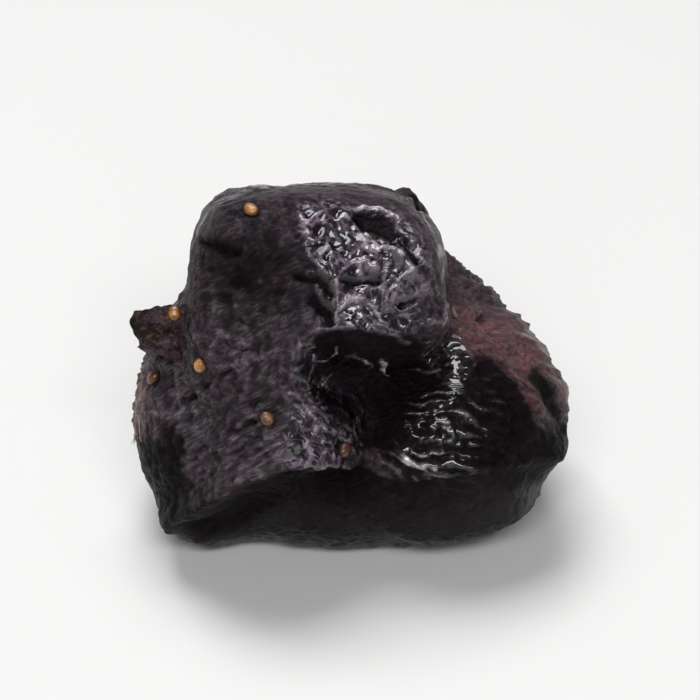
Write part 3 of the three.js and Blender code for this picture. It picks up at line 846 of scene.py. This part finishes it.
def crushed_group():
    """Crushed film: flat plates at random tilts. Height is offset . slope, in the units of Place,
    from each plate's own spot; Tone is a random number for each plate; and Seams is 1 where plates
    meet and 0 from Width inwards."""
    tree, given, result = group_of("crushed", {"Size": 1.2, "Slope": 1.0, "Width": 0.1},
                                   "Height", "Tone", "Seams")
    scale = calculate(tree, "DIVIDE", 1.0, given["Size"])
    bend = add(tree, "ShaderNodeTexNoise", {"Vector": given["Place"], "Scale": 0.8, "Detail": 1.0})
    shift = add(tree, "ShaderNodeVectorMath", {0: bend.outputs["Color"], 3: 0.9}, operation="SCALE")
    place = add(tree, "ShaderNodeVectorMath", {0: given["Place"], 1: shift.outputs[0]}).outputs[0]
    plates = add(tree, "ShaderNodeTexVoronoi", {"Vector": place, "Scale": scale}).outputs
    edges = add(tree, "ShaderNodeTexVoronoi", {"Vector": place, "Scale": scale},
                feature="DISTANCE_TO_EDGE").outputs
    offset = add(tree, "ShaderNodeVectorMath", {0: place, 1: plates["Position"]},
                 operation="SUBTRACT")
    slope = add(tree, "ShaderNodeVectorMath", {0: plates["Color"], 1: (0.5, 0.5, 0.5)},
                operation="SUBTRACT")
    tilt = add(tree, "ShaderNodeVectorMath", {0: offset.outputs[0], 1: slope.outputs[0]},
               operation="DOT_PRODUCT").outputs["Value"]
    tree.links.new(times(tree, tilt, given["Slope"]), result.inputs["Height"])
    tone = add(tree, "ShaderNodeSeparateColor", {0: plates["Color"]}).outputs[2]
    tree.links.new(tone, result.inputs["Tone"])
    near = calculate(tree, "DIVIDE", edges["Distance"], given["Width"])
    seams = add(tree, "ShaderNodeClamp", {"Value": calculate(tree, "SUBTRACT", 1.0, near)})
    tree.links.new(seams.outputs[0], result.inputs["Seams"])
    return tree


CRUSHED = crushed_group()
MOTTLE = mottle_group()
GRAIN = grain_group()


# %% Skin
def skin_material():
    """Plum-black skin: satin where it is stretched, wet and shining where it is creased. Its colour
    also holds painted highlights, reflections and shade.
    """
    material, tree, shader = new_material("fig_skin")
    place = millimetres(tree)
    film, red, painted_shade_and_cracks, torn, lost, pale, high, smooth, foil, front = (
        mask_of(tree, name) for name in (
            "wet", "red", "painted_shade_and_cracks", "torn", "lost", "pale", "high", "smooth", "foil", "front"))
    level = millimetres(tree, stretch=(0.55, 1.1, 1.1))
    streaked = millimetres(tree, stretch=(0.38, 1.3, 1.3), turn=(0, math.radians(-34), 0))
    slanted = millimetres(tree, stretch=(0.6, 1.4, 1.4), turn=(0, math.radians(40), 0))

    def drawn_skin(group, **values):
        """A pattern drawn out up the slope in front, and level behind."""
        behind, ahead = (use(tree, group, Place=way, **values) for way in (level, streaked))
        return add(tree, "ShaderNodeMix", {0: front, 2: behind, 3: ahead}).outputs[0]

    patches = use(tree, MOTTLE, Place=place, Size=4.0, Contrast=3.5)
    flecks = drawn_skin(MOTTLE, Size=0.7, Contrast=4.5)
    specks = drawn_skin(MOTTLE, Size=0.4, Contrast=6.0)
    bloom = use(tree, MOTTLE, Place=place, Size=6.0, Contrast=5.0)
    stains = use(tree, MOTTLE, Place=slanted, Size=1.3, Contrast=5.0)

    # The dry skin: plum and slate with dark specks, painted lighter on crests and darker in valleys
    # as light and shade.
    lightness = times(tree, scaled(tree, flecks, 0.62, 0.40), scaled(tree, patches, 0.62, 0.44))
    lightness = times(tree, lightness, scaled(tree, high, 1.2, 0.2))
    plum = blend_colours(tree, lightness, (0.006, 0.004, 0.005, 1), (0.226, 0.158, 0.192, 1))
    slate = blend_colours(tree, lightness, (0.004, 0.004, 0.005, 1), (0.158, 0.166, 0.168, 1))
    colour = coat(tree, plum, bloom, 0.65, slate)
    colour = coat(tree, colour, specks, 0.7, (0.018, 0.012, 0.016, 1))
    colour = coat(tree, colour, smooth, 0.35, (0.050, 0.037, 0.048, 1))

    # The crushed film: reflections painted on its plates, each a random tone from black to pale
    # lilac, and highlights painted on their seams and bright edges.
    taller = millimetres(tree, stretch=(0.8, 1.2, 0.75))
    leaning = add(tree, "ShaderNodeMapping",
                  {"Vector": taller, "Rotation": (0, math.radians(35), 0)}).outputs[0]
    broad, small = (
        add(tree, "ShaderNodeGroup", {"Place": way, "Size": size, "Slope": slope, "Width": width},
            node_tree=CRUSHED).outputs
        for way, size, slope, width in ((leaning, 1.5, 1.1, 0.10), (place, 0.75, 0.8, 0.12)))
    tone = calculate(tree, "POWER", times(tree, broad["Tone"], small["Tone"]), 1.6)
    plate_reflections = blend_colours(tree, tone, (0.005, 0.004, 0.006, 1), (0.480, 0.350, 0.500, 1))
    colour = coat(tree, colour, foil, 0.92, plate_reflections)
    # seams: where highlights are painted along the edges of the plates.
    seams = times(tree, foil, times(tree, broad["Seams"], flecks))
    # How much pale highlight is painted: on the bright places, and on the seams of the plates.
    painted_glints = calculate(tree, "MAXIMUM", times(tree, pale, scaled(tree, flecks, 0.85, 0.15)),
                      times(tree, seams, 0.55))
    colour = blend_colours(tree, painted_glints, colour, (0.620, 0.530, 0.610, 1))

    # The red lobe, the torn threads, and over it all the shade painted in hollows, creases, pockets
    # and on the belly, with the dark cracks.
    blush = blend_colours(tree, flecks, (0.118, 0.048, 0.052, 1), (0.238, 0.112, 0.112, 1))
    redness = times(tree, red, scaled(tree, stains, 0.65, 0.3))
    colour = blend_colours(tree, redness, colour, blush)
    colour = blend_colours(tree, torn, colour, (0.260, 0.155, 0.140, 1))
    colour = coat(tree, colour, painted_shade_and_cracks, 0.97, (0.003, 0.0018, 0.0024, 1))

    # Dry skin is satin. Syrup is glossy, with a clear coat, but not in the lost hollows.
    satin = scaled(tree, smooth, -0.10, scaled(tree, patches, 0.14, 0.42))
    gloss = times(tree, film, calculate(tree, "SUBTRACT", 1.0, lost))
    rough = add(tree, "ShaderNodeMix", {0: gloss, 2: satin, 3: 0.14}).outputs[0]
    fill(tree, shader, {
        "Base Color": colour, "Roughness": rough, "Coat Weight": gloss,
        "Coat Roughness": 0.06, "Coat IOR": 1.6, "IOR": 1.2, "Specular IOR Level": 0.42,
        "Specular Tint": (0.96, 0.84, 0.95, 1)})

    pores = times(tree, drawn_skin(GRAIN, Size=0.62, Lines=0.7), 0.40)
    tilts = calculate(tree, "ADD", broad["Height"], small["Height"])
    height = calculate(tree, "ADD", times(tree, pores, scaled(tree, foil, -0.7, 1.0)),
                       times(tree, tilts, foil))
    emboss(tree, shader, height, 1.0, 1.0)
    return material


SKIN = skin_material()

# %% Make the skin
points, quads, masks = fig_skin_surface(NET_CELLS, FRONT_SHIFT)
make_piece("fig_skin", points, quads.tolist(), SKIN, "fig_skin", ["fig"], masks)
print("skin box, mm:", points.min(0).round(2), points.max(0).round(2))

# %% [markdown]
# ## The stub of the stalk
#
# The stalk dried to wood and snapped off short. It is squarish, with ribs along it that carried the
# sap, narrower towards the break than where it joins the fruit, and the break is dished and ragged.
# It is one profile carried along a straight axis, with its section squared off.

# %% Stub
STUB_ROOT = np.array([-15.4, -3.6, 26.2])
STUB_TIP = np.array([-23.8, -4.8, 26.4])
STUB_UP, STUB_DOWN, STUB_DEPTH = 2.85, 3.15, 2.55  # half sizes, mm
STUB_PROFILE = [  # share of the length, size above the axis, size below it
    (0.0, 0.90, 0.85), (0.3, 0.98, 0.88), (0.55, 0.94, 0.84), (0.8, 0.86, 0.78), (0.95, 0.74, 0.62),
    (1.0, 0.66, 0.50)]
STUB_SLANT = 0.2  # how far the break leans out above, mm for each mm up


def stub_surface(rows, columns):
    """Rings along the axis. Radius = profile x squared section (|cos|^4 + |sin|^4)^(-1/4) x ribs,
    plus lumps from hills and facets, which stop where seed_3 sits. The last rings turn inwards to
    the dished break, which leans by STUB_SLANT and whose edge hills make ragged."""
    length = np.linalg.norm(STUB_TIP - STUB_ROOT)
    axis = (STUB_TIP - STUB_ROOT) / length
    depth = unit(np.cross(BOARD_UP, axis))
    up = np.cross(axis, depth)
    share = np.linspace(0, 1, rows)
    stations, above, below = np.array(STUB_PROFILE).T
    inner = np.array([0.86, 0.62, 0.34])  # rings of the break, from its edge to the middle
    dish = np.array([0.04, 0.30, 0.50])
    reach = np.concatenate([np.ones(rows), inner])
    along = np.concatenate([share * length, length - dish])
    high, low = (np.interp(np.minimum(along / length, 1), stations, sizes) * half_size
                 for sizes, half_size in ((above, STUB_UP), (below, STUB_DOWN)))
    turn = np.arange(columns) * 2 * np.pi / columns
    square = (np.abs(np.cos(turn)) ** 4 + np.abs(np.sin(turn)) ** 4) ** -0.25
    rib = 1 + 0.03 * np.cos(7 * turn + 0.9 * np.sin(2 * turn)) + 0.01 * np.cos(17 * turn + 2)
    section = square * rib
    upward = np.where(np.cos(turn) > 0, high[:, None], low[:, None]) * np.cos(turn) * section
    sideways = np.sin(turn) * section * (high + low)[:, None] / (STUB_UP + STUB_DOWN) * STUB_DEPTH
    rings = (STUB_ROOT + axis * along[:, None, None]
             + up * (upward * reach[:, None])[..., None]
             + depth * (sideways * reach[:, None])[..., None])
    flat = rings.reshape(-1, 3)
    radial = unit(flat - STUB_ROOT - ((flat - STUB_ROOT) @ axis)[:, None] * axis)
    bumps = (0.50 * hills(flat, 2.0) + 0.34 * hills(flat + 4.0, 1.1)
             + 0.24 * facets(flat + 8.0, 1.3)) * (1 - seat_of(flat, SEED_SPOTS[2:3]))
    way = np.repeat(along / length, columns)
    ragged = 0.55 * hills(flat + 40.0, 1.3) * soft_step(0.86, 1.0, way)
    leaning = STUB_SLANT * ((flat - STUB_ROOT) @ up - STUB_UP) * way
    flat = flat + radial * bumps[:, None] + axis * (ragged + leaning)[:, None]
    return flat.reshape(1, rows + len(inner), columns, 3) - MIDDLE


def stub_material():
    """Dark dried wood in random patches of purple-grey, red-brown and black, with a few tan specks."""
    material, tree, shader = new_material("stalk_wood")
    place = millimetres(tree, stretch=(0.8, 1, 1))
    patches = use(tree, MOTTLE, Place=place, Size=2.2, Contrast=7.0)
    flecks = use(tree, MOTTLE, Place=place, Size=0.8, Contrast=7.0)
    specks = use(tree, MOTTLE, Place=place, Size=0.5, Contrast=5.0)
    wood = blend_colours(tree, patches, (0.010, 0.004, 0.0035, 1), (0.046, 0.027, 0.038, 1))
    wood = coat(tree, wood, flecks, 0.8, (0.006, 0.0025, 0.003, 1))
    wood = coat(tree, wood, calculate(tree, "POWER", specks, 6.0), 0.22, (0.240, 0.130, 0.075, 1))
    fill(tree, shader, {
        "Base Color": wood, "Roughness": scaled(tree, flecks, 0.2, 0.45), "IOR": 1.25})
    emboss(tree, shader, use(tree, GRAIN, Place=place, Size=0.35, Lines=0.8), 0.9, 0.15)
    return material


make_piece("stalk_stub", *pods(stub_surface(44, 96)), stub_material(), "stalk", ["stem_stub"])

# %% [markdown]
# ## Seeds
#
# Six seeds cling to the fig, five to its sticky skin and one to the stub. Each is a flattened drop,
# golden where it stands clear, and brown where syrup has run over it and towards its rim. The frame
# already says where each lies and how it is turned, so its three axes are read from its own solid:
# the directions in which its points spread most and least.

# %% Seeds
SEED_FILM = [0.25, 0.0, 0.35, 0.8, 1.1, 1.0]  # how much syrup has run over each
HUSK_SHARE = [0.90, 0.90, 1.0]  # the husk's length, width and thickness, of its solid's


def seed_axes(node):
    """The middle of a seed's solid, its three axes and the husk's half sizes, longest first, mm.

    The first axis is turned so that it points to the narrow end."""
    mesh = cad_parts[node].data
    flat = np.empty(len(mesh.vertices) * 3)
    mesh.vertices.foreach_get("co", flat)
    cloud = np.unique((flat.reshape(-1, 3) / MM).round(4), axis=0)
    middle = (cloud.max(0) + cloud.min(0)) / 2
    _, _, axes = np.linalg.svd(cloud - cloud.mean(0), full_matrices=False)
    spread = (cloud - middle) @ axes.T
    ahead, behind = (np.abs(spread[side, 1]).max() for side in (spread[:, 0] > 0, spread[:, 0] < 0))
    axes[0] *= 1 if ahead < behind else -1
    return middle, axes, np.abs(spread).max(0) * HUSK_SHARE


def seed_surface(middle, axes, sizes, rows=22, columns=28):
    """A drop: rings of radius sin(latitude) x (1 - 0.16 along), so narrower at the tip, a small
    beak there, one shallow groove along each flat side, and faint hills."""
    latitude = np.linspace(0, np.pi, rows + 2)[1:-1, None]
    turn = np.arange(columns)[None] * 2 * np.pi / columns
    along = np.cos(latitude) + 0.12 * bell(latitude, 0.35)
    width = np.sin(latitude) * (1 - 0.16 * along)
    groove = 1 - 0.10 * bell(np.cos(turn), 0.22)
    local = np.stack([along * np.ones_like(turn), width * np.cos(turn),
                      width * np.sin(turn) * groove], -1)
    flat = (local * sizes).reshape(-1, 3) @ axes + middle
    flat = flat + 0.025 * hills(flat, 0.5)[:, None] * unit(flat - middle)
    return flat.reshape(1, rows, columns, 3)


def seed_material():
    """Golden husk under a thin clear film, browner where syrup ran over it and towards its rim."""
    material, tree, shader = new_material("seed_husk")
    place = millimetres(tree)
    patches = use(tree, MOTTLE, Place=place, Size=0.6, Contrast=4.5)
    film = mask_of(tree, "film")
    husk = blend_colours(tree, patches, (0.24, 0.085, 0.016, 1), (0.58, 0.270, 0.060, 1))
    coated = blend_colours(tree, film, husk, (0.070, 0.024, 0.012, 1))
    fill(tree, shader, {
        "Base Color": coated, "Roughness": scaled(tree, patches, 0.15, 0.28),
        "Coat Weight": 0.4, "Coat Roughness": 0.18, "Subsurface Weight": 0.15,
        "Subsurface Radius": (0.6 * MM, 0.3 * MM, 0.1 * MM)})
    emboss(tree, shader, use(tree, GRAIN, Place=place, Size=0.2, Lines=0.5), 0.4, 0.04)
    return material


HUSK = seed_material()
for node, film in zip(SEEDS, SEED_FILM):
    middle, axes, sizes = seed_axes(node)
    seed_points, seed_faces = pods(seed_surface(middle, axes, sizes))
    rim = np.linalg.norm(((seed_points - middle) @ axes.T / sizes)[:, :2], axis=1)
    # browning: syrup over each seed, and more brown towards its rim.
    browning = np.clip(film + 0.3 * hills(seed_points, 0.8) + 0.6 * soft_step(0.6, 1.0, rim), 0, 1)
    make_piece(node + "_husk", seed_points, seed_faces, HUSK, "seed", [node], {"film": browning})

# %% [markdown]
# ## The eye
#
# Opposite the stalk is the eye, the small mouth through which the fig was pollinated. Rings of tiny
# scales close it. Each scale is a flat pod that follows the skin from the rim down into the pit.

# %% Scales of the eye
def eye_scales(count, start, end, width, lift, shift, rows=9, columns=10):
    """Flat pods round the eye. The spine runs over the skin from radius start to end at an even
    turn, raised by lift; the width goes as sin(pi t^0.7), and the thickness is a fifth of it."""
    side = unit(np.cross(EYE_DIRECTION, [0.0, 0.0, 1.0]))
    top = np.cross(side, EYE_DIRECTION)
    share = np.linspace(0.04, 0.96, rows)
    radius = start + (end - start) * share
    turn = (np.arange(count) + shift) * 2 * np.pi / count
    outward = np.cos(turn)[:, None] * side + np.sin(turn)[:, None] * top
    distance = np.linalg.norm(EYE_PLACE - CORE)
    spine = EYE_DIRECTION * distance + outward[:, None] * radius[:, None]
    skin_points, _, _ = broad_skin(unit(spine.reshape(-1, 3)))
    raised = lift * np.sin(np.pi * share) + 0.15
    spine = skin_points.reshape(count, rows, 3) + EYE_DIRECTION * raised[:, None]
    across = np.cross(outward, EYE_DIRECTION)
    breadth = width * np.sin(np.pi * share ** 0.7)
    around = np.arange(columns) * 2 * np.pi / columns
    return (spine[:, :, None]
            + across[:, None, None] * (breadth[:, None] * np.cos(around))[..., None]
            + EYE_DIRECTION * (0.2 * breadth[:, None] * np.sin(around))[..., None]) - MIDDLE


def scale_material():
    """Dry red-brown scales."""
    material, tree, shader = new_material("eye_scale")
    place = millimetres(tree)
    patches = use(tree, MOTTLE, Place=place, Size=0.8, Contrast=3.0)
    brown = blend_colours(tree, patches, (0.018, 0.008, 0.008, 1), (0.075, 0.036, 0.028, 1))
    fill(tree, shader, {"Base Color": brown, "Roughness": scaled(tree, patches, 0.2, 0.45)})
    emboss(tree, shader, use(tree, GRAIN, Place=place, Size=0.3, Lines=0.6), 0.7, 0.08)
    return material


outer = eye_scales(11, 2.5, 0.7, 0.62, 0.2, 0.0)
inner = eye_scales(8, 1.6, 0.2, 0.50, 0.3, 0.5)
make_piece("eye_scales", *pods(np.concatenate([outer, inner])), scale_material(), "fig_skin")

# %% [markdown]
# ## Torn fringe
#
# Down the left flank the skin has torn and dried to pale threads. Each thread is a thin pod bent
# along its length, rooted in the skin. There are seventy, each with only a few dozen faces.

# %% Threads
def fringe(count, rows=7, columns=5):
    """Thin pods rooted at random places of the flank: a straight run down it, plus a bend that
    grows with the square of t, the share of the length. The radius goes as 1 - 0.8 t^2."""
    tilt = RANDOM.uniform(-0.05, 0.22, count)
    rise = RANDOM.uniform(-0.30, 0.06, count)
    directions = unit(np.array([-1.0, 0, 0]) + tilt[:, None] * FACING + rise[:, None] * BOARD_UP)
    roots, _, _ = broad_skin(directions)
    lean = RANDOM.normal(0, 0.4, (count, 3))
    heading = unit(-BOARD_UP + 0.25 * directions + lean)
    heading = unit(heading - 0.9 * (heading * directions).sum(1, keepdims=True) * directions)
    bend = 0.7 * unit(RANDOM.normal(0, 0.5, (count, 3)))
    length = RANDOM.uniform(0.6, 1.8, count)[:, None, None]
    share = np.linspace(0, 1, rows)[:, None]
    spine = (roots + directions * 0.12)[:, None] + length * (
        heading[:, None] * share + bend[:, None] * share ** 2 * 0.5)
    radius = 0.06 * (1 - 0.8 * share[:, 0] ** 2)
    side = unit(np.cross(heading, directions))
    over = np.cross(side, heading)
    around = np.arange(columns) * 2 * np.pi / columns
    ring = (side[:, None, None] * np.cos(around)[:, None]
            + over[:, None, None] * np.sin(around)[:, None])
    return spine[:, :, None] + ring * radius[:, None, None] - MIDDLE


def thread_material():
    """Pale dried threads, pinkish tan."""
    material, tree, shader = new_material("torn_thread")
    place = millimetres(tree)
    patches = use(tree, MOTTLE, Place=place, Size=1.5, Contrast=3.0)
    tan = blend_colours(tree, patches, (0.120, 0.065, 0.052, 1), (0.400, 0.290, 0.240, 1))
    fill(tree, shader, {"Base Color": tan, "Roughness": 0.55})
    return material


make_piece("torn_fringe", *pods(fringe(70)), thread_material(), "fig_skin")

# %% [markdown]
# ## Floor, light and camera
#
# The fig stands on plain pale card. A soft lamp hangs above and a little behind, so the tops of the
# folds are bright and the hollows stay dark. A wide weak one in front gives the skin its sheen, and
# a narrow bright strip there puts dashes of light on the wet creases. The world adds a little light
# from all round. A lamp's power is set from the brightness that its face should have, where a white
# card lit at the plain level has brightness 1.

# %% Floor
def floor_material():
    """Plain pale grey card."""
    material, tree, shader = new_material("pale_floor")
    fill(tree, shader, {
        "Base Color": (0.82, 0.815, 0.81, 1), "Roughness": 0.9, "Specular IOR Level": 0.2})
    return material


FLOOR_HALF = 2.0  # metres
corners = [(x * FLOOR_HALF, y * FLOOR_HALF, 0) for x, y in ((-1, -1), (1, -1), (1, 1), (-1, 1))]
floor_mesh = bpy.data.meshes.new("floor")
floor_mesh.from_pydata(corners, [], [(0, 1, 2, 3)])
floor_mesh.materials.append(floor_material())
floor = bpy.data.objects.new("floor", floor_mesh)
bpy.context.scene.collection.objects.link(floor)
floor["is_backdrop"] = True

# %% Camera
low, high = (np.array(corner) for corner in CAD_BOX)
centre = (low + high) / 2
span = high[0] - low[0]
ELEVATION = math.radians(36)
BACK = np.array([0, -math.cos(ELEVATION), math.sin(ELEVATION)])
FILL = 0.62  # the share of the picture's width that the fig takes
DISTANCE = 0.34  # metres

camera = bpy.data.objects.new("camera", bpy.data.cameras.new("camera"))
bpy.context.scene.collection.objects.link(camera)
camera.data.lens = camera.data.sensor_width * DISTANCE * FILL / span
camera.location = Vector(centre + BACK * DISTANCE)
camera.rotation_euler = Vector(-BACK).to_track_quat("-Z", "Y").to_euler()
camera.data.clip_start = 0.01
bpy.context.scene.camera = camera
print("lens, mm:", round(camera.data.lens, 1))


# %% Light
def softbox(name, place, width, height, brightness):
    """An oblong lamp that looks at the middle of the fig; power = pi x area x brightness."""
    lamp = bpy.data.lights.new(name, "AREA")
    lamp.shape = "RECTANGLE"
    lamp.size, lamp.size_y = width, height
    lamp.energy = math.pi * width * height * brightness
    light = bpy.data.objects.new(name, lamp)
    light.location = place
    light.rotation_euler = (Vector(centre) - light.location).to_track_quat("-Z", "Y").to_euler()
    bpy.context.scene.collection.objects.link(light)


softbox("overhead", (-0.10, 0.20, 0.75), 0.45, 0.45, 7.6)
softbox("front_wide", (-0.05, -0.80, 0.58), 0.75, 0.75, 0.9)
softbox("front_strip", (0.02, -0.50, 0.56), 0.50, 0.13, 11.0)

world = bpy.data.worlds.new("studio")
world.use_nodes = True
world.node_tree.nodes["Background"].inputs[0].default_value = (1, 1, 1, 1)
world.node_tree.nodes["Background"].inputs[1].default_value = 0.10
bpy.context.scene.world = world
bpy.context.scene.view_settings.view_transform = "Standard"

# %% [markdown]
# ## The sizes
#
# The finished fig should fill the same box as its solid, give or take its creases. Both boxes are
# printed.

# %% Sizes
boxes = {"cad": CAD_BOX, "visual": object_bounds()}
sizes = {name: [list(corner) for corner in box] for name, box in boxes.items()}
print("sizes, mm:", {key: [[round(v / MM, 2) for v in corner] for corner in box]
                     for key, box in sizes.items()})
